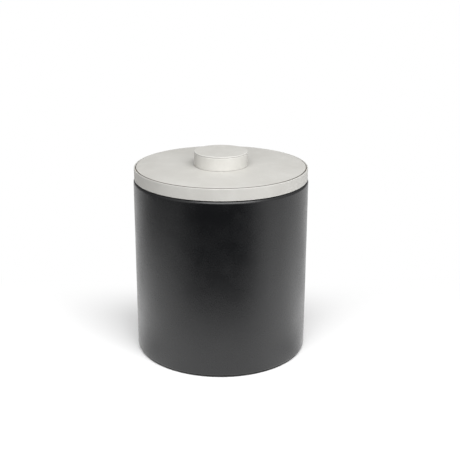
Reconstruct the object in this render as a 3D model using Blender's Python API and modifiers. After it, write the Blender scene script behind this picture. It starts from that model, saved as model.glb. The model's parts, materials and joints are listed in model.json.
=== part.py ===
"""Leather-covered ice bucket with an insulated steel insert and a lid with a round knob.

Three groups come apart along the Z axis: the casing stands on the table, the insert
hangs in the casing by its flange, and the lid sits on that flange with its plug in the
insert's mouth. Every round piece is turned about Z, so one piece is one outline.
Units are metres, +Z is up, and the origin is the centre of the base.
"""

import math

import bmesh
import bpy

# --- driving dimensions -------------------------------------------------------------

GAP = 0.0003  # clearance between two pieces that touch or are glued
SEGMENTS = 48  # flats round a large turned piece
SMALL_SEGMENTS = 24  # flats round the fixings
KNOB_SEGMENTS = 48  # flats round the knob
ARC_STEP = math.radians(45)  # coarsest step along a rounded corner
SHARP_ANGLE = math.radians(35)
MERGE = 0.00001

# Casing, measured from the floor
BODY_RADIUS = 0.105
SEAT_HEIGHT = 0.2130  # floor to the seat of the insert's flange on the leather rim
RIM_RISE = 0.0015  # how far the rim stands above that seat, outside the flange
BLACK_HIDE = 0.0014  # thickness of the black leather
RIM_ROUND = 0.0030
MOUTH_ROUND = 0.0019
FOOT_ROUND = 0.0020
SEAM_WIDTH = 0.0004  # butt seam where the two ends of a strip of leather meet
TUBE_WALL = 0.004
TUBE_REBATE = 0.002
TURN_IN = 0.030  # how far the leather runs down inside the mouth
TURN_UNDER = 0.016  # how far it runs in under the base
PAD_HEIGHT = 0.002
PAD_INSET = 0.0018
BOARD_HEIGHT = 0.008
SIDE_LINING = 0.0008
FLOOR_LINING = 0.002

# Insert, measured from the seat of its flange
SHEET_STEEL = 0.0008
MOUTH_RADIUS = 0.086  # inside the cup's mouth
CUP_FOOT_RADIUS = 0.084
CUP_STRAIGHT = 0.026  # depth of the parallel part that takes the lid's plug
CUP_DEPTH = 0.186
CUP_CORNER = 0.008
CUP_LIP_ROUND = 0.002
FLANGE_RADIUS = 0.1001
SHELL_RADIUS = 0.0963  # outside of the outer shell
SHELL_CORNER = 0.006
SHELL_LIP_RADIUS = 0.0971

# Lid, measured from the face that rests on the insert's flange
LID_RADIUS = 0.1041
LID_EDGE_HEIGHT = 0.0145  # top of the band
TOP_RISE = 0.0003  # how far the edge of the top leather stands above the band
LID_CROWN = 0.0005  # further rise of the top at the centre
GREY_HIDE = 0.0016  # thickness of the lid's grey leather
BAND_FOOT = 0.0004  # the band's cut lower edge
TOP_EDGE_ROUND = 0.0006
CROWN_STEPS = 3
PLUG_RADIUS = 0.084
PLUG_DEPTH = 0.023
PLUG_CORNER = 0.005
PLUG_GROOVE = 0.002  # groove in the core that holds the plug pan's rim
SEAL_HEIGHT = 0.0057
SEAL_LIP_RADIUS = 0.0857
SEAL_LIP_TOP = 0.002  # depth of the lip's tip below the resting face
SEAL_LIP_FOOT = 0.0029
SEAL_ROOT_FOOT = 0.0043  # where the underside of the lip meets the ring
TOP_INLAY_GAP = 0.0007  # groove between the lid's top leather and its band

# Knob and the screw that clamps knob, core and plug together
KNOB_RADIUS = 0.0321
KNOB_BAND_HEIGHT = 0.0153
KNOB_HIDE = 0.0014
SCREW_RADIUS = 0.003
SCREW_LENGTH = 0.0508
SCREW_HEAD_RADIUS = 0.00575
SCREW_HEAD_HEIGHT = 0.0035
HEX_ACROSS_CORNERS = 0.0046
HEX_DEPTH = 0.002
BORE_RADIUS = 0.0034  # clearance hole for the screw
WASHER_RADIUS = 0.009
WASHER_HEIGHT = 0.0012
SPACER_RADIUS = 0.0065
NUT_RADIUS = 0.005
NUT_HEIGHT = 0.011

# --- sizes worked out from the driving dimensions ------------------------------------

TUBE_RADIUS = BODY_RADIUS - BLACK_HIDE - GAP
TUBE_BORE = TUBE_RADIUS - TUBE_WALL
CASING_MOUTH = TUBE_BORE - GAP - BLACK_HIDE  # inside the turned-in leather
HIDE_FOOT = PAD_HEIGHT + GAP
BOARD_FOOT = HIDE_FOOT + BLACK_HIDE + GAP
BOARD_TOP = BOARD_FOOT + BOARD_HEIGHT
TURN_IN_END = SEAT_HEIGHT - TURN_IN
RIM_TOP = SEAT_HEIGHT + RIM_RISE
SEAT_RADIUS = FLANGE_RADIUS + GAP  # where the seat ends and the rim rises
SHELL_BORE = SHELL_RADIUS - SHEET_STEEL
SHELL_DEPTH = SEAT_HEIGHT - (BOARD_TOP + GAP + FLOOR_LINING + GAP) - SHEET_STEEL
FLANGE_TOP = GAP + SHEET_STEEL
LID_SEAT = SEAT_HEIGHT + FLANGE_TOP + GAP
CORE_FOOT = GREY_HIDE + GAP
CORE_RADIUS = LID_RADIUS - GREY_HIDE - GAP
TOP_EDGE_HEIGHT = LID_EDGE_HEIGHT + TOP_RISE
TOP_LEATHER_FOOT = TOP_EDGE_HEIGHT - GREY_HIDE
KNOB_SEAT = TOP_EDGE_HEIGHT + LID_CROWN + GAP  # above the lid's own datum
PLUG_BORE = PLUG_RADIUS - SHEET_STEEL
WASHER_TOP = -PLUG_DEPTH - GAP
HEAD_TOP = WASHER_TOP - WASHER_HEIGHT - GAP


# --- materials ------------------------------------------------------------------------


def material(name, colour, roughness, metallic=0.0):
    """A Principled material in one colour."""
    made = bpy.data.materials.new(name)
    made.use_nodes = True
    shader = made.node_tree.nodes["Principled BSDF"]
    shader.inputs["Base Color"].default_value = (*colour, 1.0)
    shader.inputs["Roughness"].default_value = roughness
    shader.inputs["Metallic"].default_value = metallic
    made.diffuse_color = (*colour, 1.0)
    return made


# --- outlines -------------------------------------------------------------------------


def rounded(corners):
    """Points of an outline. A corner is (radius, height) or (radius, height, rounding)."""
    points = []
    for index, corner in enumerate(corners):
        if len(corner) == 2:
            points.append(corner)
            continue
        before = corners[index - 1]
        after = corners[(index + 1) % len(corners)]
        points.extend(arc_at(before[:2], corner[:2], after[:2], corner[2]))
    return points


def arc_at(before, corner, after, rounding):
    """Points of the arc that rounds a corner between its two neighbours."""
    in_x, in_z = before[0] - corner[0], before[1] - corner[1]
    out_x, out_z = after[0] - corner[0], after[1] - corner[1]
    in_length, out_length = math.hypot(in_x, in_z), math.hypot(out_x, out_z)
    in_x, in_z = in_x / in_length, in_z / in_length
    out_x, out_z = out_x / out_length, out_z / out_length
    half = math.acos(max(-1.0, min(1.0, in_x * out_x + in_z * out_z))) / 2
    middle = math.hypot(in_x + out_x, in_z + out_z)
    reach = rounding / math.sin(half)
    centre_x = corner[0] + (in_x + out_x) / middle * reach
    centre_z = corner[1] + (in_z + out_z) / middle * reach
    tangent = rounding / math.tan(half)
    start = math.atan2(
        corner[1] + in_z * tangent - centre_z, corner[0] + in_x * tangent - centre_x
    )
    end = math.atan2(
        corner[1] + out_z * tangent - centre_z, corner[0] + out_x * tangent - centre_x
    )
    sweep = (end - start + math.pi) % math.tau - math.pi
    steps = max(1, math.ceil(abs(sweep) / ARC_STEP - 0.001))
    return [
        (
            centre_x + rounding * math.cos(start + sweep * step / steps),
            centre_z + rounding * math.sin(start + sweep * step / steps),
        )
        for step in range(steps + 1)
    ]


def crowned(radius, inner, edge_height):
    """Points of the lid's crowned top from near the axis out to its edge."""
    span = radius - inner
    distances = [inner + span * step / CROWN_STEPS for step in range(CROWN_STEPS + 1)]
    return [(r, edge_height + LID_CROWN * (1 - (r / radius) ** 2)) for r in distances]


def cup_line(offset):
    """The cup's inner face, moved out and down by offset, from its mouth to the axis."""
    return [
        (MOUTH_RADIUS + offset, -CUP_STRAIGHT),
        (CUP_FOOT_RADIUS + offset, -CUP_DEPTH - offset, CUP_CORNER + offset),
        (0.0, -CUP_DEPTH - offset),
    ]


# --- turned pieces --------------------------------------------------------------------


def turned(
    name, corners, finish, group, closed=True, segments=SEGMENTS, seam=0.0, wall=0.0
):
    """Turns an outline about Z.

    A closed outline runs down its outer side. An open one that ends on the axis is a
    disc, and with a wall it is a sheet: a wall below zero grows against its normals.
    A seam leaves the turn short by that angle, at the back.
    """
    points = rounded(corners)
    mesh = bpy.data.meshes.new(name)
    edges = [(index, index + 1) for index in range(len(points) - 1)]
    if closed:
        edges.append((len(points) - 1, 0))
    mesh.from_pydata([(x, 0.0, z) for x, z in points], edges, [])
    piece = bpy.data.objects.new(name, mesh)
    bpy.context.scene.collection.objects.link(piece)

    screw = piece.modifiers.new("turn", "SCREW")
    screw.angle = math.tau - seam
    screw.steps = screw.render_steps = segments
    screw.use_merge_vertices = True
    screw.merge_threshold = MERGE
    if wall:
        sheet = piece.modifiers.new("sheet", "SOLIDIFY")
        sheet.thickness = abs(wall)
        sheet.offset = math.copysign(1.0, wall)
        sheet.use_even_offset = True
    freeze(piece)
    if seam:
        piece.rotation_euler.z = math.pi / 2 + seam / 2
    place(piece, finish, group)
    return piece


def freeze(piece):
    """Replaces a piece's modifiers with the mesh they make, shaded smooth off its edges."""
    graph = bpy.context.evaluated_depsgraph_get()
    mesh = bpy.data.meshes.new_from_object(piece.evaluated_get(graph))
    piece.modifiers.clear()
    piece.data = mesh
    mesh.name = piece.name
    mesh.shade_smooth()
    mesh.set_sharp_from_angle(angle=SHARP_ANGLE)


def place(piece, finish, group):
    """Gives a piece its material, its collection and its parent."""
    piece.data.materials.clear()
    piece.data.materials.append(finish)
    piece.parent = group
    for collection in piece.users_collection:
        collection.objects.unlink(piece)
    bpy.data.collections["ice_bucket"].objects.link(piece)


def group_at(name, height):
    """An empty on the Z axis that carries one group of pieces."""
    empty = bpy.data.objects.new(name, None)
    empty.location.z = height
    bpy.data.collections["ice_bucket"].objects.link(empty)
    return empty


# --- casing ---------------------------------------------------------------------------


def build_casing(finishes):
    """The leather-wrapped tube with its base and its lining."""
    casing = group_at("casing", 0.0)
    hide, board = finishes["black_leather"], finishes["board"]
    pad_radius = BODY_RADIUS - PAD_INSET
    turned(
        "base_pad",
        [(0.0, PAD_HEIGHT), (pad_radius, PAD_HEIGHT), (pad_radius, 0.0), (0.0, 0.0)],
        finishes["base_rubber"],
        casing,
        closed=False,
    )
    turned(
        "leather_wrap",
        [
            (CASING_MOUTH, TURN_IN_END),
            (CASING_MOUTH, SEAT_HEIGHT, MOUTH_ROUND),
            (SEAT_RADIUS, SEAT_HEIGHT),
            (SEAT_RADIUS, RIM_TOP),
            (BODY_RADIUS, RIM_TOP, RIM_ROUND),
            (BODY_RADIUS, HIDE_FOOT, FOOT_ROUND),
            (BODY_RADIUS - TURN_UNDER, HIDE_FOOT),
        ],
        hide,
        casing,
        closed=False,
        seam=SEAM_WIDTH / BODY_RADIUS,
        wall=-BLACK_HIDE,
    )
    filler_radius = BODY_RADIUS - TURN_UNDER - GAP
    turned(
        "base_filler_card",
        [
            (0.0, HIDE_FOOT + BLACK_HIDE),
            (filler_radius, HIDE_FOOT + BLACK_HIDE),
            (filler_radius, HIDE_FOOT),
            (0.0, HIDE_FOOT),
        ],
        board,
        casing,
        closed=False,
    )
    tube_top = SEAT_HEIGHT - BLACK_HIDE - GAP
    lip_bore = SEAT_RADIUS + BLACK_HIDE + GAP
    rebate_radius = TUBE_BORE + TUBE_REBATE
    rebate_top = BOARD_TOP + GAP
    turned(
        "casing_tube",
        [
            (TUBE_BORE, tube_top, MOUTH_ROUND - BLACK_HIDE),
            (lip_bore, tube_top),
            (lip_bore, tube_top + RIM_RISE),
            (TUBE_RADIUS, tube_top + RIM_RISE, TUBE_RADIUS - lip_bore),
            (TUBE_RADIUS, BOARD_FOOT, FOOT_ROUND - BLACK_HIDE),
            (rebate_radius, BOARD_FOOT),
            (rebate_radius, rebate_top),
            (TUBE_BORE, rebate_top),
        ],
        board,
        casing,
    )
    board_radius = rebate_radius - GAP
    turned(
        "base_board",
        [
            (0.0, BOARD_TOP),
            (board_radius, BOARD_TOP),
            (board_radius, BOARD_FOOT),
            (0.0, BOARD_FOOT),
        ],
        board,
        casing,
        closed=False,
    )
    lining_outer = TUBE_BORE - GAP
    lining_inner = lining_outer - SIDE_LINING
    lining_foot = rebate_top
    turned(
        "side_lining",
        [
            (lining_inner, TURN_IN_END - GAP),
            (lining_outer, TURN_IN_END - GAP),
            (lining_outer, lining_foot),
            (lining_inner, lining_foot),
        ],
        finishes["lining"],
        casing,
    )
    floor_radius = lining_inner - GAP
    turned(
        "floor_lining",
        [
            (0.0, lining_foot + FLOOR_LINING),
            (floor_radius, lining_foot + FLOOR_LINING),
            (floor_radius, lining_foot),
            (0.0, lining_foot),
        ],
        finishes["lining"],
        casing,
        closed=False,
    )


# --- insert ---------------------------------------------------------------------------


def build_insert(finishes):
    """The double-walled steel insert, drawn below the seat of its flange."""
    insert = group_at("insert", SEAT_HEIGHT)
    steel = finishes["satin_steel"]
    turned(
        "insert_inner_cup",
        [
            (FLANGE_RADIUS, FLANGE_TOP),
            (MOUTH_RADIUS, FLANGE_TOP, CUP_LIP_ROUND),
            *cup_line(0.0),
        ],
        steel,
        insert,
        closed=False,
        wall=SHEET_STEEL,
    )
    turned(
        "insert_outer_shell",
        [
            (SHELL_LIP_RADIUS, 0.0),
            (SHELL_BORE, 0.0),
            (SHELL_BORE, -SHELL_DEPTH, SHELL_CORNER),
            (0.0, -SHELL_DEPTH),
        ],
        steel,
        insert,
        closed=False,
        wall=SHEET_STEEL,
    )
    inner_face = cup_line(SHEET_STEEL + GAP)
    foam_radius = SHELL_BORE - GAP
    turned(
        "insert_foam",
        [
            *reversed(inner_face),
            (inner_face[0][0], -GAP - CUP_LIP_ROUND),
            (foam_radius, -GAP - CUP_LIP_ROUND),
            (foam_radius, -SHELL_DEPTH + GAP, SHELL_CORNER),
            (0.0, -SHELL_DEPTH + GAP),
        ],
        finishes["foam"],
        insert,
        closed=False,
    )


# --- lid ------------------------------------------------------------------------------


def build_lid(finishes):
    """The leather-covered lid with its insulated plug, drawn above its resting face."""
    lid = group_at("lid", LID_SEAT)
    leather = finishes["grey_leather"]
    turned(
        "lid_band_leather",
        [(LID_RADIUS, LID_EDGE_HEIGHT), (LID_RADIUS, BAND_FOOT)],
        leather,
        lid,
        closed=False,
        seam=SEAM_WIDTH / LID_RADIUS,
        wall=-GREY_HIDE,
    )
    top_radius = LID_RADIUS - GREY_HIDE - TOP_INLAY_GAP
    turned(
        "lid_top_leather",
        [
            *crowned(top_radius, BORE_RADIUS, TOP_EDGE_HEIGHT)[:-1],
            (top_radius, TOP_EDGE_HEIGHT, TOP_EDGE_ROUND),
            *reversed(crowned(top_radius, BORE_RADIUS, TOP_LEATHER_FOOT)),
        ],
        leather,
        lid,
    )
    groove_outer = PLUG_RADIUS + GAP
    groove_inner = PLUG_BORE - GAP
    groove_top = CORE_FOOT + PLUG_GROOVE
    turned(
        "lid_core",
        [
            *crowned(CORE_RADIUS, BORE_RADIUS, TOP_LEATHER_FOOT - GAP),
            (CORE_RADIUS, CORE_FOOT),
            (groove_outer, CORE_FOOT),
            (groove_outer, groove_top),
            (groove_inner, groove_top),
            (groove_inner, CORE_FOOT),
            (BORE_RADIUS, CORE_FOOT),
        ],
        finishes["board"],
        lid,
    )
    facing_inner = PLUG_RADIUS + GAP
    facing_outer = FLANGE_RADIUS - GAP
    turned(
        "lid_underside_facing",
        [
            (facing_inner, GREY_HIDE),
            (facing_outer, GREY_HIDE),
            (facing_outer, 0.0),
            (facing_inner, 0.0),
        ],
        finishes["lining"],
        lid,
    )
    build_plug(finishes, lid, groove_top)
    build_knob(finishes, lid)
    build_fixings(finishes, lid)


def build_plug(finishes, lid, groove_top):
    """The insulated plug under the lid, and the seal round it."""
    turned(
        "lid_plug_pan",
        [
            (PLUG_RADIUS, groove_top - GAP),
            (PLUG_RADIUS, -PLUG_DEPTH, PLUG_CORNER),
            (BORE_RADIUS, -PLUG_DEPTH),
        ],
        finishes["satin_steel"],
        lid,
        closed=False,
        wall=-SHEET_STEEL,
    )
    foam_outer = PLUG_BORE - GAP
    foam_inner = SPACER_RADIUS + GAP
    foam_foot = -PLUG_DEPTH + SHEET_STEEL + GAP
    turned(
        "lid_plug_foam",
        [
            (foam_inner, CORE_FOOT - GAP),
            (foam_outer, CORE_FOOT - GAP),
            (foam_outer, foam_foot, PLUG_CORNER),
            (foam_inner, foam_foot),
        ],
        finishes["foam"],
        lid,
    )
    seal_inner = PLUG_RADIUS + GAP
    seal_outer = (seal_inner + SEAL_LIP_RADIUS) / 2
    turned(
        "lid_seal_ring",
        [
            (seal_inner, -GAP),
            (seal_outer, -GAP),
            (SEAL_LIP_RADIUS, -SEAL_LIP_TOP),
            (SEAL_LIP_RADIUS, -SEAL_LIP_FOOT),
            (seal_outer, -SEAL_ROOT_FOOT),
            (seal_outer, -SEAL_HEIGHT),
            (seal_inner, -SEAL_HEIGHT),
        ],
        finishes["silicone"],
        lid,
    )


def build_knob(finishes, lid):
    """The round knob: a turned core, a leather band and a leather top."""
    leather = finishes["grey_leather"]
    band_top = KNOB_SEAT + KNOB_BAND_HEIGHT
    core_radius = KNOB_RADIUS - KNOB_HIDE - GAP
    hole_radius = NUT_RADIUS + GAP
    hole_top = KNOB_SEAT + 2 * GAP + NUT_HEIGHT
    turned(
        "knob_core",
        [
            (0.0, band_top),
            (core_radius, band_top),
            (core_radius, KNOB_SEAT),
            (hole_radius, KNOB_SEAT),
            (hole_radius, hole_top),
            (0.0, hole_top),
        ],
        finishes["board"],
        lid,
        closed=False,
        segments=KNOB_SEGMENTS,
    )
    turned(
        "knob_band_leather",
        [(KNOB_RADIUS, band_top), (KNOB_RADIUS, KNOB_SEAT)],
        leather,
        lid,
        closed=False,
        segments=KNOB_SEGMENTS,
        seam=SEAM_WIDTH / KNOB_RADIUS,
        wall=-KNOB_HIDE,
    )
    top_foot = band_top + GAP
    turned(
        "knob_top_leather",
        [
            (0.0, top_foot + KNOB_HIDE),
            (KNOB_RADIUS, top_foot + KNOB_HIDE, TOP_EDGE_ROUND),
            (KNOB_RADIUS, top_foot),
            (0.0, top_foot),
        ],
        leather,
        lid,
        closed=False,
        segments=KNOB_SEGMENTS,
    )


def build_fixings(finishes, lid):
    """The one screw that clamps knob, core and plug, with its washer, spacer and nut."""
    bore = BORE_RADIUS
    turned(
        "plug_spacer_tube",
        [
            (bore, CORE_FOOT - GAP),
            (SPACER_RADIUS, CORE_FOOT - GAP),
            (SPACER_RADIUS, -PLUG_DEPTH + SHEET_STEEL + GAP),
            (bore, -PLUG_DEPTH + SHEET_STEEL + GAP),
        ],
        finishes["nylon"],
        lid,
        segments=SMALL_SEGMENTS,
    )
    turned(
        "screw_sealing_washer",
        [
            (bore, WASHER_TOP),
            (WASHER_RADIUS, WASHER_TOP),
            (WASHER_RADIUS, WASHER_TOP - WASHER_HEIGHT),
            (bore, WASHER_TOP - WASHER_HEIGHT),
        ],
        finishes["silicone"],
        lid,
        segments=SMALL_SEGMENTS,
    )
    nut_foot = KNOB_SEAT + GAP
    nut_bore = SCREW_RADIUS + GAP
    turned(
        "knob_insert_nut",
        [
            (nut_bore, nut_foot + NUT_HEIGHT),
            (NUT_RADIUS, nut_foot + NUT_HEIGHT),
            (NUT_RADIUS, nut_foot),
            (nut_bore, nut_foot),
        ],
        finishes["brass"],
        lid,
        segments=SMALL_SEGMENTS,
    )
    head_foot = HEAD_TOP - SCREW_HEAD_HEIGHT
    tip = HEAD_TOP + SCREW_LENGTH
    tip_chamfer = SCREW_RADIUS * 0.2
    screw = turned(
        "knob_screw",
        [
            (0.0, tip),
            (SCREW_RADIUS - tip_chamfer, tip),
            (SCREW_RADIUS, tip - tip_chamfer),
            (SCREW_RADIUS, HEAD_TOP),
            (SCREW_HEAD_RADIUS, HEAD_TOP),
            (SCREW_HEAD_RADIUS, head_foot, SCREW_HEAD_HEIGHT * 0.6),
            (0.0, head_foot),
        ],
        finishes["screw_steel"],
        lid,
        closed=False,
        segments=SMALL_SEGMENTS,
    )
    cut_hexagon(screw, head_foot, lid)


def cut_hexagon(screw, head_foot, lid):
    """Sinks the hexagonal socket into the screw's head."""
    shape = bmesh.new()
    bmesh.ops.create_cone(
        shape,
        cap_ends=True,
        segments=6,
        radius1=HEX_ACROSS_CORNERS / 2,
        radius2=HEX_ACROSS_CORNERS / 2,
        depth=2 * HEX_DEPTH,
    )
    mesh = bpy.data.meshes.new("hex_socket_cutter")
    shape.to_mesh(mesh)
    shape.free()
    cutter = bpy.data.objects.new("hex_socket_cutter", mesh)
    cutter.location.z = head_foot
    cutter.parent = lid
    cutter.hide_render = True
    cutter.display_type = "WIRE"
    bpy.data.collections["cutters"].objects.link(cutter)
    cut = screw.modifiers.new("hex_socket", "BOOLEAN")
    cut.operation = "DIFFERENCE"
    cut.object = cutter


# --- the whole object -----------------------------------------------------------------


def main():
    for item in list(bpy.data.objects):
        bpy.data.objects.remove(item)
    for name in ("ice_bucket", "cutters"):
        collection = bpy.data.collections.new(name)
        bpy.context.scene.collection.children.link(collection)
    finishes = {
        "black_leather": material("black_leather", (0.010, 0.010, 0.011), 0.4),
        "grey_leather": material("grey_leather", (0.50, 0.49, 0.46), 0.5),
        "lining": material("lining", (0.035, 0.035, 0.038), 0.95),
        "base_rubber": material("base_rubber", (0.015, 0.015, 0.016), 0.8),
        "board": material("board", (0.42, 0.30, 0.19), 0.85),
        "satin_steel": material("satin_steel", (0.62, 0.62, 0.60), 0.28, 1.0),
        "foam": material("foam", (0.80, 0.74, 0.52), 0.95),
        "silicone": material("silicone", (0.70, 0.70, 0.68), 0.5),
        "screw_steel": material("screw_steel", (0.60, 0.60, 0.60), 0.25, 1.0),
        "brass": material("brass", (0.72, 0.53, 0.25), 0.35, 1.0),
        "nylon": material("nylon", (0.82, 0.82, 0.79), 0.55),
    }
    build_casing(finishes)
    build_insert(finishes)
    build_lid(finishes)


main()
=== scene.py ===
"""Looks of the leather-covered ice bucket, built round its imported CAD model.

Every piece that can be seen is a fine turned mesh in the place of its CAD node, with a
material made of procedural nodes. Lengths are metres in the frame's own axes: +Z is up,
-Y is the front, and the seams of the leather are at the back.
"""

import json
import math

import bmesh
import bpy
from mathutils import Matrix, Vector

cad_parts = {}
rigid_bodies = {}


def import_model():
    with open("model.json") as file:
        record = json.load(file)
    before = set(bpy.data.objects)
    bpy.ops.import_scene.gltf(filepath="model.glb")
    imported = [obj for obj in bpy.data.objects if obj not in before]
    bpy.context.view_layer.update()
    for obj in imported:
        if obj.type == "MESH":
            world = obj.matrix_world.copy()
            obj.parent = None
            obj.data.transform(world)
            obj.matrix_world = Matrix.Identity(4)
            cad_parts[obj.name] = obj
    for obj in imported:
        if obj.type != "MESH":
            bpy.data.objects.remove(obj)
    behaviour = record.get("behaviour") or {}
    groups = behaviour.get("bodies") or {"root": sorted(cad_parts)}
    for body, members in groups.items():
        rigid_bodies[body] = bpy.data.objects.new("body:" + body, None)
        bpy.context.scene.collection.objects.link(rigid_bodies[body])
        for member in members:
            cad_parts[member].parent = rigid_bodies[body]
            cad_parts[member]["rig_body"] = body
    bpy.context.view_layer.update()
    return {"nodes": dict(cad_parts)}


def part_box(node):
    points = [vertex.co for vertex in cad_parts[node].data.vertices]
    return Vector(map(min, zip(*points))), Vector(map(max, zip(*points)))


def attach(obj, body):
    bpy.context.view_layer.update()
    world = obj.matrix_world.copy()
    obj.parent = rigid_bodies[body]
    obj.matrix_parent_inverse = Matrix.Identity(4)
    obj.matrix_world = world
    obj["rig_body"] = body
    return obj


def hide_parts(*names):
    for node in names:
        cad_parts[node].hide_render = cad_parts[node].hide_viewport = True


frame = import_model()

# --- driving dimensions ---------------------------------------------------------------

SEGMENTS = 192  # steps round a large turned piece
SEAMED_SEGMENTS = 240
KNOB_SEGMENTS = 144
SMALL_SEGMENTS = 72
ARC_STEP = math.radians(10)  # coarsest step along a rounded corner
WAVE_STEP = 0.006  # longest step along a piece whose surface undulates
SUPPORT = 0.0004  # extra point this far from each end of a run, which keeps flats flat
SHARP_ANGLE = math.radians(40)
TINY = 0.00001

BLACK_HIDE = 0.0014
GREY_HIDE = 0.0016
KNOB_HIDE = 0.0014
SHEET_STEEL = 0.0008
GLUE_GAP = 0.0003  # between two pieces that touch
GLUE_LINE = 0.00005  # what is left of it to be seen under the knob
CUT_ROUND = 0.00045  # softened cut edge of leather, card or rubber
STEEL_ROUND = 0.00035

SEAM_WIDTH = 0.0004
SEAM_DEPTH = 0.0004  # how far the leather is pressed down beside a seam
SEAM_REACH = 0.0024
SEAM_STEPS = 6
SEAM_ANGLE = math.pi / 2  # the seams are at +Y, the back
WALL_WAVE = 0.00008  # depth of the unevenness of leather glued by hand
LID_WAVE = 0.00005
RIPPLES = (  # share of the depth, waves round the axis, radians to the metre, phase
    (1.0, 3, 41, 0.7),
    (0.7, 5, -63, 2.1),
    (0.5, 8, 97, 4.4),
    (0.3, 13, -151, 1.3),
)
RIPPLE_CREST = sum(share for share, _, _, _ in RIPPLES)
CALM_RADIUS = 0.02  # a disc's unevenness fades out from here to its centre

RIM_RISE = 0.0015  # the rim stands this much above the seat of the insert's flange
RIM_ROUND = 0.0034  # a little softer than the CAD node's
MOUTH_ROUND = 0.0019
FOOT_ROUND = 0.0020
TOP_EDGE_ROUND = 0.0006
LID_CROWN = 0.0005
CROWN_STEPS = 14

CUP_CORNER = 0.008
CUP_STRAIGHT = 0.026
CUP_LIP_ROUND = 0.002
CUP_TAPER = 0.002  # the cup is this much narrower at its foot
SHELL_CORNER = 0.006
SHELL_LIP_ROUND = 0.001
PLUG_CORNER = 0.005
HEX_ACROSS_CORNERS = 0.0046
HEX_DEPTH = 0.002

# Roundings and chamfers as shares of a piece's own size
LINING_SOFTNESS = 0.45  # of the lining's thickness
WASHER_SOFTNESS = 0.3  # of the washer's height
HEAD_ROUND = 0.6  # of the height of the screw's head
TIP_CHAMFER = 0.2  # of the screw's radius

# --- measures of the frame ------------------------------------------------------------


def low(node):
    """Height of the lowest point of a CAD node."""
    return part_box(node)[0].z


def high(node):
    """Height of the highest point of a CAD node."""
    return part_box(node)[1].z


def outer(node):
    """Largest radius of a CAD node."""
    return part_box(node)[1].x


def points_of(node):
    """The (radius, height) of every point of a CAD node."""
    corners = [v.co for v in frame["nodes"][node].data.vertices]
    return [(math.hypot(p.x, p.y), p.z) for p in corners]


def bore(node, above=-1.0):
    """Smallest radius of a CAD node's points above a height."""
    return min(r for r, z in points_of(node) if z > above)


def inner_end(node):
    """Height at which the inner wall at the top of a CAD node ends."""
    inner = bore(node, above=(low(node) + high(node)) / 2)
    return min(z for r, z in points_of(node) if abs(r - inner) < TINY)


# --- outlines -------------------------------------------------------------------------


def rounded(corners):
    """Points of an outline. A corner is (radius, height) or (radius, height, rounding)."""
    points = []
    for index, corner in enumerate(corners):
        if len(corner) == 2:
            points.append(tuple(corner))
            continue
        before = corners[index - 1]
        after = corners[(index + 1) % len(corners)]
        points.extend(arc_at(before[:2], corner[:2], after[:2], corner[2]))
    return points


def arc_at(before, corner, after, rounding):
    """Points of the arc that rounds a corner between its two neighbours."""
    corner = Vector(corner)
    way_in = (Vector(before) - corner).normalized()
    way_out = (Vector(after) - corner).normalized()
    half = way_in.angle(way_out) / 2
    centre = corner + (way_in + way_out).normalized() * rounding / math.sin(half)
    tangent = rounding / math.tan(half)
    first = corner + way_in * tangent - centre
    last = corner + way_out * tangent - centre
    start = math.atan2(first.y, first.x)
    sweep = (math.atan2(last.y, last.x) - start + math.pi) % math.tau - math.pi
    steps = max(2, math.ceil(abs(sweep) / ARC_STEP))
    angles = [start + sweep * step / steps for step in range(steps + 1)]
    return [
        (centre.x + rounding * math.cos(a), centre.y + rounding * math.sin(a))
        for a in angles
    ]


def sheet(line, thickness, cut=CUT_ROUND):
    """Outline of a bent sheet. The line is its visible face, with the outside on its left.

    An end of the line on the axis stays there, and any other end is a cut edge with its
    corners rounded by cut.
    """
    points = [Vector(corner[:2]) for corner in line]
    ways = [(there - here).normalized() for here, there in zip(points, points[1:])]
    face, back = [], []
    for index, corner in enumerate(line):
        way_in, way_out = ways[max(index - 1, 0)], ways[min(index, len(ways) - 1)]
        inward_in, inward_out = (Vector((way.y, -way.x)) for way in (way_in, way_out))
        mitre = (inward_in + inward_out) / (1 + inward_in.dot(inward_out))
        behind = points[index] + mitre * thickness
        is_end = index in (0, len(line) - 1)
        if is_end and points[index].x > 0:
            face.append((*corner[:2], cut))
            back.append((*behind, cut))
        elif len(corner) == 3:
            bend = math.copysign(thickness, way_in.cross(way_out))
            face.append(corner)
            back.append((*behind, corner[2] + bend))
        else:
            face.append(corner)
            back.append(tuple(behind))
    return face + back[::-1]


def supported(points, closed, step):
    """The outline with extra points by its corners, and none further apart than step."""
    count = len(points) if closed else len(points) - 1
    made = []
    for index in range(count):
        here = Vector(points[index])
        there = Vector(points[(index + 1) % len(points)])
        made.append(here)
        length = (there - here).length
        if length < 4 * SUPPORT:
            continue
        inner = length - 2 * SUPPORT
        steps = max(1, math.ceil(inner / step))
        made += [
            here.lerp(there, (SUPPORT + inner * part / steps) / length)
            for part in range(steps + 1)
        ]
    if not closed:
        made.append(Vector(points[-1]))
    return made


def crowned(radius, inner, edge_height):
    """Points of the lid's crowned face from near the axis out to its edge."""
    span = radius - inner
    distances = [inner + span * step / CROWN_STEPS for step in range(CROWN_STEPS + 1)]
    return [(r, edge_height + LID_CROWN * (1 - (r / radius) ** 2)) for r in distances]


# --- turned pieces --------------------------------------------------------------------


def ripple(angle, along, depth):
    """Unevenness of leather glued by hand, from 0 to depth."""
    waves = sum(
        share * math.sin(turns * angle + rate * along + phase)
        for share, turns, rate, phase in RIPPLES
    )
    return depth * (1 + waves / RIPPLE_CREST) / 2


def seam_dip(angle, radius):
    """How far the leather is pressed in beside its seam."""
    away = abs((angle - SEAM_ANGLE + math.pi) % math.tau - math.pi) * radius
    near = max(0.0, 1 - max(0.0, away - SEAM_WIDTH / 2) / SEAM_REACH)
    return SEAM_DEPTH * near * near


def seamed_wall(depth):
    """The shape of a leather wall that ripples this deep and dips at its seam."""
    return lambda angle, r, z: (r - ripple(angle, z, depth) - seam_dip(angle, r), z)


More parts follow.
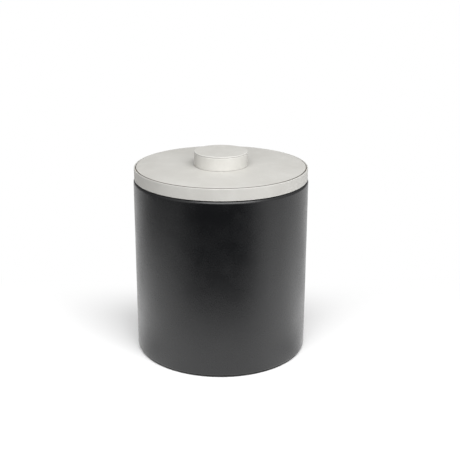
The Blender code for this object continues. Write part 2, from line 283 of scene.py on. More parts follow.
def uneven_wall(depth):
    """The shape of a wall that ripples this deep."""
    return lambda angle, r, z: (r - ripple(angle, z, depth), z)


def uneven_disc(depth):
    """The shape of a disc that ripples this deep, but not at its centre."""

    def shape(angle, r, z):
        calm = min(1.0, r / CALM_RADIUS) ** 2
        return r, z - calm * ripple(angle, r, depth)

    return shape


def angles_round(segments, seam, radius):
    """Angles round the axis. With a seam they run from one of its sides to the other."""
    if not seam:
        return [math.tau * step / segments for step in range(segments)]
    edge = SEAM_WIDTH / 2
    fine = [(edge + SEAM_REACH * step / SEAM_STEPS) / radius for step in range(SEAM_STEPS)]
    first = (edge + SEAM_REACH) / radius
    span = math.tau - 2 * first
    middle = [first + span * step / segments for step in range(segments + 1)]
    whole = fine + middle + [math.tau - angle for angle in reversed(fine)]
    return [SEAM_ANGLE + angle for angle in whole]


def turned(name, corners, segments=SEGMENTS, seam=False, shape=None, step=math.inf):
    """A mesh object made by turning an outline about Z.

    The outline has the outside on its left. One that starts and ends on the axis stays
    open there. shape(angle, r, z) gives the place of each point of it.
    """
    closed = corners[0][0] > 0
    points = supported(rounded(corners), closed, step)
    angles = angles_round(segments, seam, max(point.x for point in points))
    verts, rows = [], []
    for point in points:
        if point.x < TINY:
            rows.append([len(verts)] * len(angles))
            verts.append((0.0, 0.0, point.y))
            continue
        rows.append(list(range(len(verts), len(verts) + len(angles))))
        for angle in angles:
            r, z = shape(angle, *point) if shape else point
            verts.append((r * math.cos(angle), r * math.sin(angle), z))
    faces = []
    for index in range(len(rows) if closed else len(rows) - 1):
        here, there = rows[index], rows[(index + 1) % len(rows)]
        for column in range(len(angles) - 1 if seam else len(angles)):
            after = (column + 1) % len(angles)
            corner = [here[column], there[column], there[after], here[after]]
            faces.append(list(dict.fromkeys(corner)))
    if seam:
        faces.append([row[0] for row in reversed(rows)])
        faces.append([row[-1] for row in rows])
    mesh = bpy.data.meshes.new(name)
    mesh.from_pydata(verts, [], faces)
    mesh.validate()
    smooth(mesh)
    piece = bpy.data.objects.new(name, mesh)
    bpy.context.scene.collection.objects.link(piece)
    return piece


def smooth(mesh):
    """Shades a mesh smooth, apart from its sharp edges."""
    mesh.shade_smooth()
    mesh.set_sharp_from_angle(angle=SHARP_ANGLE)


def stand_in(piece, node, paint):
    """Puts a piece in the place of a CAD node, with that node's body."""
    piece.data.materials.clear()
    piece.data.materials.append(paint)
    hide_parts(node)
    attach(piece, frame["nodes"][node]["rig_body"])


# --- material nodes -------------------------------------------------------------------


class Paint:
    """One material's node tree, with short calls that add to it."""

    def __init__(self, tree):
        self.tree = tree
        self.place = self.node("TexCoord").outputs["Object"]  # the point's own metres

    def put(self, socket, value):
        """Links a socket to a socket, or sets its value."""
        if isinstance(value, bpy.types.NodeSocket):
            self.tree.links.new(value, socket)
        else:
            socket.default_value = value

    def node(self, kind, inputs=(), **settings):
        """A new node with these settings and inputs."""
        made = self.tree.nodes.new("ShaderNode" + kind)
        for key, value in settings.items():
            setattr(made, key, value)
        for key, value in dict(inputs).items():
            self.put(made.inputs[key], value)
        return made

    def calc(self, operation, first, second=0.0):
        """The result of a Math node."""
        return self.node("Math", {0: first, 1: second}, operation=operation).outputs[0]

    def vector(self, operation, first, second):
        """The result of a Vector Math node on two vectors."""
        made = self.node("VectorMath", {0: first, 1: second}, operation=operation)
        return made.outputs["Value" if operation == "DOT_PRODUCT" else "Vector"]

    def noise(self, scale, detail=2.0, rough=0.5, place=None):
        """Noise from 0 to 1 with this many waves to the metre."""
        inputs = {"Scale": scale, "Detail": detail, "Roughness": rough}
        inputs["Vector"] = place or self.place
        return self.node("TexNoise", inputs).outputs["Fac"]

    def cells(self, scale, place=None, feature="DISTANCE_TO_EDGE"):
        """Distance within cells, this many to the metre."""
        inputs = {"Scale": scale, "Vector": place or self.place}
        return self.node("TexVoronoi", inputs, feature=feature).outputs["Distance"]

    def warped(self, scale, amount):
        """The place, pushed about by noise, up to half of amount each way."""
        push = self.node("TexNoise", {"Scale": scale, "Vector": self.place}).outputs["Color"]
        push = self.vector("SUBTRACT", push, (0.5, 0.5, 0.5))
        push = self.vector("MULTIPLY", push, (amount, amount, amount))
        return self.vector("ADD", self.place, push)

    def span(self, value, low_in, high_in, low_out=0.0, high_out=1.0):
        """A value taken smoothly from one range to another, and held at its ends."""
        ends = {"From Min": low_in, "From Max": high_in, "To Min": low_out, "To Max": high_out}
        inputs = {"Value": value, **ends}
        return self.node("MapRange", inputs, interpolation_type="SMOOTHSTEP").outputs["Result"]

    def mix(self, factor, first, second):
        """A colour between two."""
        made = self.node("Mix", data_type="RGBA")
        for socket, value in zip((0, 6, 7), (factor, first, second)):
            self.put(made.inputs[socket], value)
        return made.outputs[2]

    def split(self, place=None):
        """The x, y and z of a place, and its distance from the axis."""
        x, y, z = self.node("SeparateXYZ", {0: place or self.place}).outputs
        squares = [self.calc("MULTIPLY", axis, axis) for axis in (x, y)]
        return x, y, z, self.calc("SQRT", self.calc("ADD", *squares))

    def near(self, value, goal, reach):
        """1 where a value is at its goal, and 0 where it is further off than reach."""
        away = self.calc("ABSOLUTE", self.calc("SUBTRACT", value, goal))
        return self.span(away, 0.0, reach, 1.0, 0.0)

    def bump(self, height, depth, under=None):
        """A bump normal from a height between 0 and 1, this deep."""
        inputs = {"Height": height, "Distance": depth}
        if under:
            inputs["Normal"] = under
        return self.node("Bump", inputs).outputs["Normal"]


def finished(name, build):
    """A material whose shader's inputs are what build(paint) gives."""
    material = bpy.data.materials.new(name)
    material.use_nodes = True
    shader = material.node_tree.nodes["Principled BSDF"]
    paint = Paint(material.node_tree)
    for key, value in build(paint).items():
        paint.put(shader.inputs[key], value)
    return material


def colour(red, green, blue):
    """An opaque colour."""
    return (red, green, blue, 1.0)


def grey(value):
    """A neutral colour."""
    return colour(value, value, value)


# --- materials ------------------------------------------------------------------------

# The leather's own colour, a lighter and a darker one
BLACK_TONES = (
    colour(0.0052, 0.0055, 0.0061),
    colour(0.0082, 0.0085, 0.0092),
    colour(0.0040, 0.0042, 0.0048),
)
GREY_TONES = (
    colour(0.500, 0.492, 0.466),
    colour(0.560, 0.552, 0.526),
    colour(0.462, 0.452, 0.425),
)
# The leather's cut edge, dark enough to be the painted shade in the lid's groove as well
CUT_EDGE_AND_GROOVE_SHADE = colour(0.050, 0.040, 0.030)
BLACK_ROUGHNESS = 0.22
GREY_ROUGHNESS = 0.5
BLACK_GRAIN = 0.00002  # depth of the pebble
GREY_GRAIN = 0.000028
PULL_DEPTH = 8  # the leather's wide waves are this many times as deep as its pebble
RIM_REACH = 0.002  # how far from the rim the black leather is rubbed smooth
EDGE_REACH = 0.0018  # how far from its edges the grey leather is made lighter, a painted highlight
CUT_REACH = 0.0009  # how far from its corner a cut edge shows the cut leather, dark as the painted shade in the lid's groove
BURNISH_AND_HIGHLIGHT_TONE = 0.7  # how far rubbed edges, and the grey leather's painted highlight, go towards its lighter colour
BURNISH_SHINE = 0.06  # and how much less rough it is


def leather(name, colours, rough, grain, burnished_and_highlit_edges, raw_edge_and_groove_shade=None):
    """Smooth leather with a fine pebble.

    colours are its own, a lighter and a darker one, rough is its roughness and grain the
    depth of its pebble. The last two arguments, given paint, give factors for edges made
    lighter and smoother, rubbed smooth on the black leather and a painted highlight on the
    grey, and for edges where the cut leather shows, dark as the painted shade in the lid's
    groove as well.
    """
    base, light, dark = colours

    def build(paint):
        drift = paint.noise(scale=16.0, detail=3.0)
        blotch = paint.noise(scale=75.0, detail=4.0, rough=0.6)
        tone = paint.mix(paint.span(drift, 0.35, 0.7), base, dark)
        tone = paint.mix(paint.span(blotch, 0.45, 0.85, 0.0, 0.6), tone, light)

        place = paint.warped(scale=260.0, amount=0.0016)
        pebble = paint.span(paint.cells(scale=820.0, place=place), 0.0, 0.22)
        creases = paint.span(paint.cells(scale=200.0, place=place), 0.0, 0.05)
        pores = paint.span(paint.cells(scale=1500.0, place=place, feature="F1"), 0.05, 0.25)
        fine_grain = paint.noise(scale=5200.0)
        height = pebble
        for part, share in ((fine_grain, 0.35), (creases, 0.5), (pores, 0.3)):
            height = paint.calc("ADD", height, paint.calc("MULTIPLY", part, share))
        pull = paint.noise(scale=34.0, detail=3.0, rough=0.45)
        normal = paint.bump(height, grain, under=paint.bump(pull, PULL_DEPTH * grain))

        tone = paint.mix(paint.span(pebble, 0.0, 1.0, 0.25, 0.0), tone, dark)
        wear = paint.noise(scale=38.0, detail=4.0)
        roughness = paint.span(wear, 0.3, 0.7, rough - 0.03, rough + 0.04)
        roughness = paint.calc("ADD", roughness, paint.span(pebble, 0.0, 1.0, 0.05, 0.0))
        # Edges made lighter and smoother: rubbed smooth on the black leather, a painted
        # highlight on the grey
        edge_burnish_and_highlight = burnished_and_highlit_edges(paint)
        tone = paint.mix(paint.calc("MULTIPLY", edge_burnish_and_highlight, BURNISH_AND_HIGHLIGHT_TONE), tone, light)
        shine = paint.calc("MULTIPLY", edge_burnish_and_highlight, BURNISH_SHINE)
        roughness = paint.calc("SUBTRACT", roughness, shine)
        # The cut edge, dark as the painted shade in the lid's groove as well
        if raw_edge_and_groove_shade:
            tone = paint.mix(raw_edge_and_groove_shade(paint), tone, CUT_EDGE_AND_GROOVE_SHADE)
        return {"Base Color": tone, "Roughness": roughness, "Normal": normal}

    return finished(name, build)


def black_leather():
    """The bucket's leather, rubbed smooth along its rim."""

    def burnished_and_highlit_edges(paint):
        _, _, z, _ = paint.split()
        return paint.near(z, high("leather_wrap"), RIM_REACH)

    return leather("black_leather", BLACK_TONES, BLACK_ROUGHNESS, BLACK_GRAIN, burnished_and_highlit_edges)


def grey_leather(name, painted_light_and_shade, edges, cut=None):
    """The lid's leather, its pieces made lighter and darker to paint the light and shade on
    them.

    The number after the name multiplies its colours: the lid's band darker as painted shade,
    the knob's band lighter as painted light. edges are the (radius, height) of its edges made
    lighter as a painted highlight, and cut that of its cut edge, dark as the painted shade in
    the lid's groove.
    """

    def ring(paint, radius, height, reach):
        _, _, z, r = paint.split()
        return paint.calc("MULTIPLY", paint.near(r, radius, reach), paint.near(z, height, reach))

    # Its edges made lighter: a painted highlight
    def burnished_and_highlit_edges(paint):
        rings = [ring(paint, *edge, EDGE_REACH) for edge in edges]
        while len(rings) > 1:
            rings.append(paint.calc("MAXIMUM", rings.pop(), rings.pop()))
        return rings[0]

    # Its cut edge, dark as the painted shade in the lid's groove
    def raw_edge_and_groove_shade(paint):
        return ring(paint, *cut, CUT_REACH)

    # Whole pieces made lighter and darker: painted light and painted shade
    tones = [colour(*(painted_light_and_shade * part for part in tone[:3])) for tone in GREY_TONES]
    return leather(name, tones, GREY_ROUGHNESS, GREY_GRAIN, burnished_and_highlit_edges, raw_edge_and_groove_shade if cut else None)


def suede():
    """Black flocked lining."""

    def build(paint):
        nap = paint.noise(scale=2600.0, detail=4.0, rough=0.7)
        brushed = paint.span(paint.noise(scale=45.0, detail=3.0), 0.35, 0.65)
        tone = paint.mix(brushed, colour(0.012, 0.012, 0.013), colour(0.030, 0.030, 0.032))
        tone = paint.mix(paint.span(nap, 0.3, 0.8, 0.0, 0.5), tone, colour(0.05, 0.05, 0.052))
        return {
            "Base Color": tone,
            "Roughness": 0.95,
            "Sheen Weight": 0.35,
            "Sheen Roughness": 0.45,
            "Normal": paint.bump(nap, depth=0.00012),
        }

    return finished("suede_lining", build)


def drawn_lines(paint, across, around):
    """Noise drawn out round the axis, with these many waves to the metre."""
    x, y, z, radius = paint.split()
    axes = {
        0: paint.calc("MULTIPLY", radius, across),
        1: paint.calc("MULTIPLY", z, across),
        2: paint.calc("MULTIPLY", paint.calc("ADD", x, y), around),
    }
    drawn_out = paint.node("CombineXYZ", axes).outputs[0]
    return paint.noise(scale=1.0, detail=4.0, rough=0.65, place=drawn_out)


def satin_steel():
    """Stainless steel with the fine circular lines that turning and brushing leave."""

    def build(paint):
        brushed = drawn_lines(paint, across=5200.0, around=24.0)
        bands = paint.span(drawn_lines(paint, across=620.0, around=7.0), 0.3, 0.7)
        smudge = paint.noise(scale=30.0, detail=5.0, rough=0.6)
        smudge = paint.span(smudge, 0.5, 0.75, 0.0, 0.08)
        tone = paint.mix(bands, colour(0.57, 0.565, 0.55), colour(0.67, 0.665, 0.65))
        roughness = paint.calc("ADD", paint.span(brushed, 0.3, 0.7, 0.2, 0.32), smudge)
        return {
            "Base Color": tone,
            "Metallic": 1.0,
            "Roughness": roughness,
            "Anisotropic": 0.55,
            "Tangent": paint.node("Tangent", direction_type="RADIAL", axis="Z").outputs[0],
            "Normal": paint.bump(brushed, depth=0.00001),
        }

    return finished("satin_steel", build)


def turned_metal(name, base, shade, rough):
    """Bright or yellow metal with faint tool marks."""

    def build(paint):
        marks = paint.noise(scale=1900.0, detail=3.0)
        return {
            "Base Color": paint.mix(paint.span(marks, 0.3, 0.7, 0.0, 0.4), base, shade),
            "Metallic": 1.0,
            "Roughness": paint.span(marks, 0.3, 0.7, rough - 0.04, rough + 0.06),
            "Normal": paint.bump(marks, depth=0.00001),
        }

    return finished(name, build)


def pad_rubber():
    """Black non-slip sheet with a fine pebble and a little dust."""

    def build(paint):
        pebble = paint.span(paint.cells(scale=620.0), 0.0, 0.35)
        dust = paint.span(paint.noise(scale=60.0, detail=4.0, rough=0.65), 0.45, 0.8)
        return {
            "Base Color": paint.mix(dust, grey(0.010), colour(0.026, 0.025, 0.024)),
            "Roughness": paint.span(pebble, 0.0, 1.0, 0.85, 0.7),
            "Normal": paint.bump(pebble, depth=0.00012),
        }

    return finished("pad_rubber", build)


def fibreboard():
    """Raw board with its fibres and flecks."""

    def build(paint):
        fibres = paint.noise(scale=900.0, detail=5.0, rough=0.7)
        flecks = paint.span(paint.cells(scale=420.0, feature="F1"), 0.1, 0.4, 0.0, 0.25)
        pale = colour(0.50, 0.37, 0.245)
        brown = colour(0.36, 0.25, 0.155)
        tone = paint.mix(paint.span(fibres, 0.3, 0.7), brown, pale)
        tone = paint.mix(flecks, tone, colour(0.25, 0.16, 0.09))
        normal = paint.bump(fibres, depth=0.00008)
        return {"Base Color": tone, "Roughness": 0.88, "Normal": normal}

    return finished("fibreboard", build)


def rigid_foam():
    """Pale foam with its cut cells."""

    def build(paint):
        pores = paint.span(paint.cells(scale=1100.0), 0.0, 0.3)
        mottle = paint.span(paint.noise(scale=55.0, detail=3.0), 0.3, 0.7)
        tone = paint.mix(mottle, colour(0.80, 0.72, 0.48), colour(0.84, 0.78, 0.58))
        tone = paint.mix(paint.span(pores, 0.0, 1.0, 0.4, 0.0), tone, colour(0.55, 0.46, 0.26))
        normal = paint.bump(pores, depth=0.0002)
        return {"Base Color": tone, "Roughness": 0.95, "Normal": normal}

    return finished("rigid_foam", build)


def moulded(name, base, shade, rough):
    """Silicone or nylon: a faint mould texture, and a little light let through."""

    def build(paint):
        grain = paint.noise(scale=1500.0, detail=3.0)
        haze = paint.span(paint.noise(scale=120.0, detail=3.0), 0.3, 0.7)
        return {
            "Base Color": paint.mix(haze, base, shade),
            "Roughness": paint.span(grain, 0.3, 0.7, rough - 0.05, rough + 0.08),
            "Subsurface Weight": 0.3,
            "Subsurface Scale": 0.001,
            "Normal": paint.bump(grain, depth=0.00003),
        }

    return finished(name, build)


def make_paints():
    """Every material of the object, by name."""
    band, top = "lid_band_leather", "lid_top_leather"
    knob_band, knob_top = "knob_band_leather", "knob_top_leather"
    # Where the lid's top meets its band: its cut edge is painted dark as the groove's shade
    cut = (outer(top), high(band))
    # Edges made lighter as a painted highlight
    band_edges = [(outer(band) - GREY_HIDE / 2, high(band)), (outer(band), low(band))]
    knob_band_edges = [(outer(knob_band), high(knob_band))]
    knob_top_edges = [(outer(knob_top), high(knob_top))]
    nylon_tones = (colour(0.80, 0.80, 0.76), colour(0.84, 0.84, 0.81))
    steel_tones = (colour(0.60, 0.60, 0.59), grey(0.5))
    brass_tones = (colour(0.72, 0.53, 0.25), colour(0.62, 0.42, 0.17))
    return {
        "black_leather": black_leather(),
        # The lid's band is darkened as painted shade and the knob's band lightened as painted
        # light
        "lid_band": grey_leather("grey_lid_band", 0.885, band_edges),
        "lid_top": grey_leather("grey_lid_top", 0.985, [cut], cut),
        "knob_band": grey_leather("grey_knob_band", 1.05, knob_band_edges),
        "knob_top": grey_leather("grey_knob_top", 1.0, knob_top_edges),
        "suede": suede(),
        "steel": satin_steel(),
        "rubber": pad_rubber(),
        "board": fibreboard(),
        "foam": rigid_foam(),
        "silicone": moulded("silicone", grey(0.61), grey(0.69), rough=0.42),
        "nylon": moulded("nylon", *nylon_tones, rough=0.5),
        "screw": turned_metal("screw_steel", *steel_tones, rough=0.24),
        "brass": turned_metal("brass", *brass_tones, rough=0.33),
    }


def paint_hidden_nodes(paints):
    """The pieces inside keep their CAD shapes."""
    for node, paint in {
        "casing_tube": "board",
        "base_board": "board",
        "base_filler_card": "board",
        "insert_foam": "foam",
        "lid_core": "board",
        "lid_plug_foam": "foam",
        "knob_core": "board",
        "plug_spacer_tube": "nylon",
        "knob_insert_nut": "brass",
    }.items():
        mesh = frame["nodes"][node].data
        mesh.materials.clear()
        mesh.materials.append(paints[paint])


# --- casing ---------------------------------------------------------------------------


def make_wrap(paints):
    """The black leather, from inside the mouth over the rim to under the base."""
    node = "leather_wrap"
    rim, foot, radius = high(node), low(node), outer(node)
    mouth = bore(node, above=(rim + foot) / 2)
    seat, step = rim - RIM_RISE, outer("insert_inner_cup") + GLUE_GAP
    line = [
        (mouth, inner_end(node)),
        (mouth, seat, MOUTH_ROUND),
        (step, seat),
        (step, rim),
        (radius, rim, RIM_ROUND),
        (radius, foot, FOOT_ROUND),
        (bore(node), foot),
    ]
    wrap = turned(
        "black_leather_cover",
        sheet(line, BLACK_HIDE),
        SEAMED_SEGMENTS,
        seam=True,
        shape=seamed_wall(WALL_WAVE),
        step=WAVE_STEP,
    )
    stand_in(wrap, node, paints["black_leather"])


def make_pad(paints):
    """The non-slip pad that the bucket stands on."""
    node = "base_pad"
    edge, foot, top = outer(node), low(node), high(node)
    disc = [(0.0, top), (edge, top, CUT_ROUND), (edge, foot, TOP_EDGE_ROUND), (0.0, foot)]
    stand_in(turned("non_slip_pad", disc), node, paints["rubber"])


def make_side_lining(paints):
    """The suede on the inside of the tube."""
    node = "side_lining"
    edge, inner, foot, top = outer(node), bore(node), low(node), high(node)
    soft = (edge - inner) * LINING_SOFTNESS
    wall = [(inner, foot), (inner, top, soft), (edge, top, soft), (edge, foot)]
    lining = turned("suede_side_lining", wall, shape=uneven_wall(WALL_WAVE), step=WAVE_STEP)
    stand_in(lining, node, paints["suede"])


def make_floor_lining(paints):
    """The suede disc on the base board."""
    node = "floor_lining"
    edge, foot, top = outer(node), low(node), high(node)
    disc = [(0.0, top), (edge, top, CUT_ROUND), (edge, foot), (0.0, foot)]
    felt = turned("suede_floor_lining", disc, shape=uneven_disc(WALL_WAVE), step=WAVE_STEP)
    stand_in(felt, node, paints["suede"])


# --- insert ---------------------------------------------------------------------------


def make_inner_cup(paints):
    """The steel cup that holds the ice, with its flange."""
    node = "insert_inner_cup"
    flange, floor = high(node), low(node) + SHEET_STEEL
    mouth = bore(node, above=flange - CUP_STRAIGHT / 2)
    line = [
        (0.0, floor),
        (mouth - CUP_TAPER, floor, CUP_CORNER),
        (mouth, flange - CUP_STRAIGHT),
        (mouth, flange, CUP_LIP_ROUND),
        (outer(node), flange),
    ]
    cup = turned("steel_inner_cup", sheet(line, SHEET_STEEL, STEEL_ROUND))
    stand_in(cup, node, paints["steel"])


def make_outer_shell(paints):
    """The steel shell round the cup's insulation."""
    node = "insert_outer_shell"
    top, floor = high(node), low(node) + SHEET_STEEL
    inner = bore(node, above=(top + floor) / 2)
    line = [
        (0.0, floor),
        (inner, floor, SHELL_CORNER),
        (inner, top, SHELL_LIP_ROUND),
        (outer(node), top),
    ]
    shell = turned("steel_outer_shell", sheet(line, SHEET_STEEL, STEEL_ROUND))
    stand_in(shell, node, paints["steel"])


# --- lid ------------------------------------------------------------------------------


def make_lid_band(paints):
    """The grey leather round the lid, with its seam at the back."""
    node = "lid_band_leather"
    line = [(outer(node), high(node)), (outer(node), low(node))]
    band = turned(
        "grey_lid_band",
        sheet(line, GREY_HIDE, TOP_EDGE_ROUND),
        SEAMED_SEGMENTS,
        seam=True,
        shape=seamed_wall(LID_WAVE),
        step=WAVE_STEP,
    )
    stand_in(band, node, paints["lid_band"])


def make_lid_top(paints):
    """The crowned grey disc that is let into the lid's top."""
    node = "lid_top_leather"
    face = crowned(outer(node), bore(node), high(node) - LID_CROWN)
    back = [(r, z - GREY_HIDE) for r, z in reversed(face)]
    outline = [*face[:-1], (*face[-1], TOP_EDGE_ROUND), *back]
    disc = turned("grey_lid_top", outline, shape=uneven_disc(LID_WAVE))
    stand_in(disc, node, paints["lid_top"])


def make_lid_facing(paints):
    """The suede ring that rests on the insert's flange."""
    node = "lid_underside_facing"
    inner, edge, foot, top = bore(node), outer(node), low(node), high(node)
    ring = [(edge, top), (edge, foot, CUT_ROUND), (inner, foot, CUT_ROUND), (inner, top)]
    stand_in(turned("suede_lid_facing", ring), node, paints["suede"])


def make_plug_pan(paints):
    """The steel pan that closes the insert's mouth."""
    node = "lid_plug_pan"
    edge, foot = outer(node), low(node)
    line = [(edge, high(node)), (edge, foot, PLUG_CORNER), (bore(node), foot)]
    pan = turned("steel_plug_pan", sheet(line, SHEET_STEEL, STEEL_ROUND))
    stand_in(pan, node, paints["steel"])


def make_seal_ring(paints):
    """The soft ring round the pan, with its lip."""
    node = "lid_seal_ring"
    inner, tip, foot, top = bore(node), outer(node), low(node), high(node)
    root = (inner + tip) / 2
    lip = (top - foot) / 3
    soft = (tip - root) / 4
    ring = [
        (inner, top, soft),
        (root, top, soft),
        (tip, top - lip, soft),
        (root, top - 2 * lip),
        (root, foot, soft),
        (inner, foot, soft),
    ]
    stand_in(turned("silicone_seal", ring), node, paints["silicone"])


# --- knob and its screw ---------------------------------------------------------------


def make_knob_band(paints):
    """The grey leather round the knob."""
    node = "knob_band_leather"
    line = [(outer(node), high(node)), (outer(node), high("lid_top_leather") + GLUE_LINE)]
    band = turned(
        "grey_knob_band",
        sheet(line, KNOB_HIDE),
        KNOB_SEGMENTS,
        seam=True,
        shape=seamed_wall(LID_WAVE),
        step=WAVE_STEP,
    )
    stand_in(band, node, paints["knob_band"])


def make_knob_top(paints):
    """The grey disc on the knob."""
    node = "knob_top_leather"
    edge, foot, top = outer(node), low(node), high(node)
    outline = [(0.0, top), (edge, top, TOP_EDGE_ROUND), (edge, foot, CUT_ROUND), (0.0, foot)]
    shape = uneven_disc(LID_WAVE)
    disc = turned("grey_knob_top", outline, KNOB_SEGMENTS, shape=shape, step=WAVE_STEP)
    stand_in(disc, node, paints["knob_top"])


def make_washer(paints):
    """The soft washer under the screw's head."""
    node = "screw_sealing_washer"
    inner, edge, foot, top = bore(node), outer(node), low(node), high(node)
    soft = (top - foot) * WASHER_SOFTNESS
    ring = [(inner, top), (edge, top, soft), (edge, foot, soft), (inner, foot, soft)]
    stand_in(turned("silicone_washer", ring, SMALL_SEGMENTS), node, paints["silicone"])


def make_screw(paints):
    """The socket screw that holds knob, lid and plug together."""
    node = "knob_screw"
    head, tip, foot = outer(node), high(node), low(node)
    neck = max(z for r, z in points_of(node) if abs(r - head) < TINY)
    shank = max(r for r, z in points_of(node) if z > neck + TINY)
    outline = [
        (0.0, tip),
        (shank * (1 - TIP_CHAMFER), tip),
        (shank, tip - shank * TIP_CHAMFER),
        (shank, neck),
        (head, neck, STEEL_ROUND),
        (head, foot, (neck - foot) * HEAD_ROUND),
        (0.0, foot),
    ]
    screw = turned("socket_screw", outline, SMALL_SEGMENTS)
    cut_hexagon(screw, foot)
    stand_in(screw, node, paints["screw"])


def cut_hexagon(screw, foot):
    """Sinks the hexagonal socket into the screw's head."""
    shape = bmesh.new()
    radius = HEX_ACROSS_CORNERS / 2
    bmesh.ops.create_cone(
        shape, cap_ends=True, segments=6, radius1=radius, radius2=radius, depth=2 * HEX_DEPTH
    )
    bmesh.ops.translate(shape, verts=shape.verts, vec=(0.0, 0.0, foot))
    mesh = bpy.data.meshes.new("hex_socket_cutter")
    shape.to_mesh(mesh)
    shape.free()
    cutter = bpy.data.objects.new("hex_socket_cutter", mesh)
    bpy.context.scene.collection.objects.link(cutter)
    cut = screw.modifiers.new("hex_socket", "BOOLEAN")
    cut.operation = "DIFFERENCE"
    cut.object = cutter
    graph = bpy.context.evaluated_depsgraph_get()
    made = bpy.data.meshes.new_from_object(screw.evaluated_get(graph))
    screw.modifiers.clear()
    screw.data = made
    smooth(made)
    bpy.data.objects.remove(cutter)


def make_object(paints):
    """Every piece that can be seen, closed or apart."""
    for make in (
        make_wrap,
        make_pad,
        make_side_lining,
        make_floor_lining,
        make_inner_cup,
        make_outer_shell,
        make_lid_band,
        make_lid_top,
        make_lid_facing,
        make_plug_pan,
        make_seal_ring,
        make_knob_band,
        make_knob_top,
        make_washer,
        make_screw,
    ):
        make(paints)


# --- stage ----------------------------------------------------------------------------

CAMERA_PLACE = (0.0, -1.04086, 0.495)
CAMERA_LENS = 69.91
AIM_RIGHT = 0.0106  # turn of the camera towards +X, in radians
AIM_DOWN = 0.3224
ROLL = 0.0033

KEY_PLACE = (0.13, -0.67, 0.93)  # centre of the softbox
KEY_AIM = (0.0, 0.0, 0.2)
KEY_SIZE = (1.1, 1.08)
KEY_RADIANCE = 3.7

SKY_KEY_WAY = (0.3, -1.0, 0.45)  # where the sky is brightest
SKY_SPREAD = (-0.5, 1.0)  # cosines of the angles from there over which it changes
SKY_FAR_SIDE = 0.25
SKY_KEY_SIDE = 1.1
SKYLINE = (-0.03, 0.0)  # heights of a direction, between below and above
SKY_BELOW = 0.3

FLOOR_REACH = 2.5
FLOOR_STEPS = 96
FLOOR_TONES_WITH_PAINTED_SHADE = (0.955, 0.86)  # the floor's white on the left, and a darker one on the right: painted shade beside the object
FLOOR_TURN = 0.06  # it goes from one to the other within this distance of the middle
FLOOR_WHITE = (0.34, 0.6)  # the floor goes to plain white between these distances
BACK_WHITE = (0.06, 0.2)  # and between these distances behind the object's axis, a glowing white that paints out its shadow there

FLAG_Y = -1.3  # behind the camera
FLAG_LEFT = -0.8
FLAG_RIGHT = 0.6
FLAG_TOP = 0.75

# The light from the floor. Each pool goes from one strength to another between two distances
# from the axis, and the angle round the axis, 0 at the front, says which pool it is.
BOUNCE_DEPTH = 0.0005
POOL_FRONT = (0.16, 0.46, 1.52, 0.0)
POOL_LEFT = (0.14, 0.8, 1.66, 0.18)
POOL_RIGHT = (0.15, 0.75, 1.8, 1.08)
POOL_BACK = 0.92
FRONT_EDGE = (0.3, 0.6, math.radians(13), math.radians(25))  # where the front pool ends
LEFT_FROM = math.radians(-68)  # from here on the left one is whole
RIGHT_FROM = math.radians(65)
BACK_TURN = (math.radians(88), math.radians(135))  # the back comes in between these
CONTACT_SHADE = (0.12, 0.2, 0.62, 1.0)  # darkens the light close to the foot
SIDE_TURN = (math.radians(40), math.radians(70))  # that shade comes in between these
UNDER_PAD = 0.9  # strength right below the object
PAST_PAD = (0.1, 0.11)


def make_camera():
    """The camera, in front of the object and a little above it."""
    data = bpy.data.cameras.new("camera")
    data.lens = CAMERA_LENS
    camera = bpy.data.objects.new("camera", data)
    bpy.context.scene.collection.objects.link(camera)
    level = Vector((math.sin(AIM_RIGHT), math.cos(AIM_RIGHT), 0.0))
    ahead = level * math.cos(AIM_DOWN) - Vector((0.0, 0.0, math.sin(AIM_DOWN)))
    right = ahead.cross(Vector((0.0, 0.0, 1.0))).normalized()
    tilted = right * math.cos(ROLL) + right.cross(ahead) * math.sin(ROLL)
    axes = Matrix((tilted, tilted.cross(ahead), -ahead)).transposed()
    camera.matrix_world = Matrix.Translation(CAMERA_PLACE) @ axes.to_4x4()
    bpy.context.scene.camera = camera


def make_key():
    """The softbox over the camera."""
    data = bpy.data.lights.new("softbox", "AREA")
    data.shape = "RECTANGLE"
    data.size, data.size_y = KEY_SIZE
    data.energy = KEY_RADIANCE * math.pi * KEY_SIZE[0] * KEY_SIZE[1]
    light = bpy.data.objects.new("softbox", data)
    light.location = KEY_PLACE
    toward = Vector(KEY_AIM) - Vector(KEY_PLACE)
    light.rotation_euler = toward.to_track_quat("-Z", "Y").to_euler()
    light.visible_camera = False
    bpy.context.scene.collection.objects.link(light)


def make_sky():
    """White behind the object, and a soft glow from the front that lights it."""
    world = bpy.data.worlds.new("sky")
    bpy.context.scene.world = world
    world.use_nodes = True
    paint = Paint(world.node_tree)
    way = paint.node("TexCoord").outputs["Generated"]
    toward_key = paint.vector("DOT_PRODUCT", way, tuple(Vector(SKY_KEY_WAY).normalized()))
    glow = paint.span(toward_key, *SKY_SPREAD, SKY_FAR_SIDE, SKY_KEY_SIDE)
    above = paint.span(paint.split(way)[2], *SKYLINE)
    lit = paint.mix(above, grey(SKY_BELOW), glow)
    seen = paint.node("LightPath").outputs["Is Camera Ray"]
    background = world.node_tree.nodes["Background"]
    paint.put(background.inputs["Color"], paint.mix(seen, lit, grey(1.0)))


def stage_sheet(name, corners, shader):
    """A flat sheet of the stage. shader(paint) gives what its surface does with light."""
    mesh = bpy.data.meshes.new(name)
    mesh.from_pydata(corners, [], [list(range(len(corners)))])
    piece = bpy.data.objects.new(name, mesh)
    bpy.context.scene.collection.objects.link(piece)
    material = bpy.data.materials.new(name)
    material.use_nodes = True
    material.node_tree.nodes.clear()
    paint = Paint(material.node_tree)
    surface = shader(paint)
    paint.put(paint.node("OutputMaterial").inputs["Surface"], surface)
    mesh.materials.append(material)
    return piece


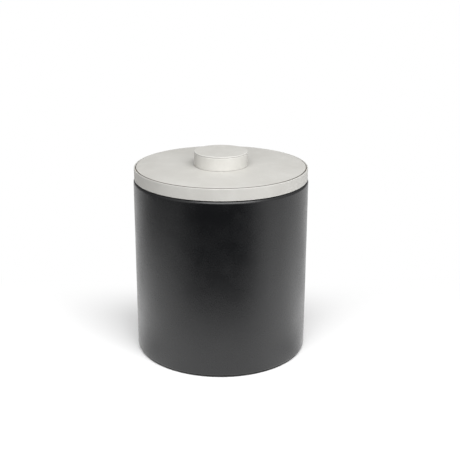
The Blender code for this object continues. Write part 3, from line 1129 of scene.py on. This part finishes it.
def circle(radius, height):
    """Points round a circle."""
    angles = [math.tau * step / FLOOR_STEPS for step in range(FLOOR_STEPS)]
    return [(radius * math.cos(a), radius * math.sin(a), height) for a in angles]


def floor_shader(paint):
    """White that takes a shadow near the object, with painted shade on its right and glowing
    white that paints out the shadow behind it, and is clear when seen from below.
    """
    x, y, _, radius = paint.split()
    # Darker on the right: painted shade beside the object
    tone = paint.span(x, -FLOOR_TURN, FLOOR_TURN, *FLOOR_TONES_WITH_PAINTED_SHADE)
    white = paint.node("BsdfDiffuse", {"Color": tone}).outputs[0]
    plain = paint.node("Emission", {"Color": grey(1.0)}).outputs[0]
    # Glowing plain white far out, and behind the object where it paints out the shadow
    fade = paint.calc("MAXIMUM", paint.span(radius, *FLOOR_WHITE), paint.span(y, *BACK_WHITE))
    top = paint.node("MixShader", {0: fade, 1: white, 2: plain}).outputs[0]
    below = paint.node("BsdfTransparent").outputs[0]
    back = paint.node("NewGeometry").outputs["Backfacing"]
    return paint.node("MixShader", {0: back, 1: top, 2: below}).outputs[0]


def bounce_shader(paint):
    """Light from the floor: a bright pool round the object that goes dark in front."""
    x, y, _, radius = paint.split()
    around = paint.calc("ARCTAN2", x, paint.calc("MULTIPLY", y, -1.0))
    turned_away = paint.calc("ABSOLUTE", around)
    front_edge = paint.span(radius, *FRONT_EDGE)
    left_edge = paint.calc("MULTIPLY", front_edge, -1.0)
    to_left = paint.span(around, LEFT_FROM, left_edge, 1.0, 0.0)
    to_right = paint.span(around, front_edge, RIGHT_FROM)
    to_back = paint.span(turned_away, *BACK_TURN)
    past_pad = paint.span(radius, *PAST_PAD)

    light = paint.mix(to_left, paint.span(radius, *POOL_FRONT), paint.span(radius, *POOL_LEFT))
    light = paint.mix(to_right, light, paint.span(radius, *POOL_RIGHT))
    light = paint.mix(to_back, light, grey(POOL_BACK))
    light = paint.mix(past_pad, grey(UNDER_PAD), light)

    at_side = paint.span(turned_away, *SIDE_TURN)
    shade = paint.mix(at_side, grey(1.0), paint.span(radius, *CONTACT_SHADE))
    shade = paint.mix(past_pad, grey(1.0), shade)
    return paint.node("Emission", {"Color": light, "Strength": shade}).outputs[0]


def black_shader(paint):
    """Black that gives nothing back."""
    return paint.node("BsdfDiffuse", {"Color": grey(0.0)}).outputs[0]


def make_stage():
    """The floor that the camera sees, the floor that the object sees, and a black flag."""
    floor = stage_sheet("floor", circle(FLOOR_REACH, 0.0), floor_shader)
    floor.visible_diffuse = False
    floor.visible_glossy = False
    floor.visible_transmission = False
    floor.visible_shadow = False
    bounce = stage_sheet("floor_bounce", circle(FLOOR_REACH, -BOUNCE_DEPTH), bounce_shader)
    bounce.visible_camera = False
    flag_corners = [
        (FLAG_LEFT, FLAG_Y, 0.0),
        (FLAG_RIGHT, FLAG_Y, 0.0),
        (FLAG_RIGHT, FLAG_Y, FLAG_TOP),
        (FLAG_LEFT, FLAG_Y, FLAG_TOP),
    ]
    flag = stage_sheet("flag", flag_corners, black_shader)
    flag.visible_camera = False
    flag.visible_diffuse = False
    flag.visible_shadow = False
    flag.visible_transmission = False


# --- the whole scene ------------------------------------------------------------------


def main():
    """Makes the looks round the frame."""
    paints = make_paints()
    paint_hidden_nodes(paints)
    make_object(paints)
    make_camera()
    make_key()
    make_sky()
    make_stage()
    bpy.context.scene.view_settings.view_transform = "Standard"


main()
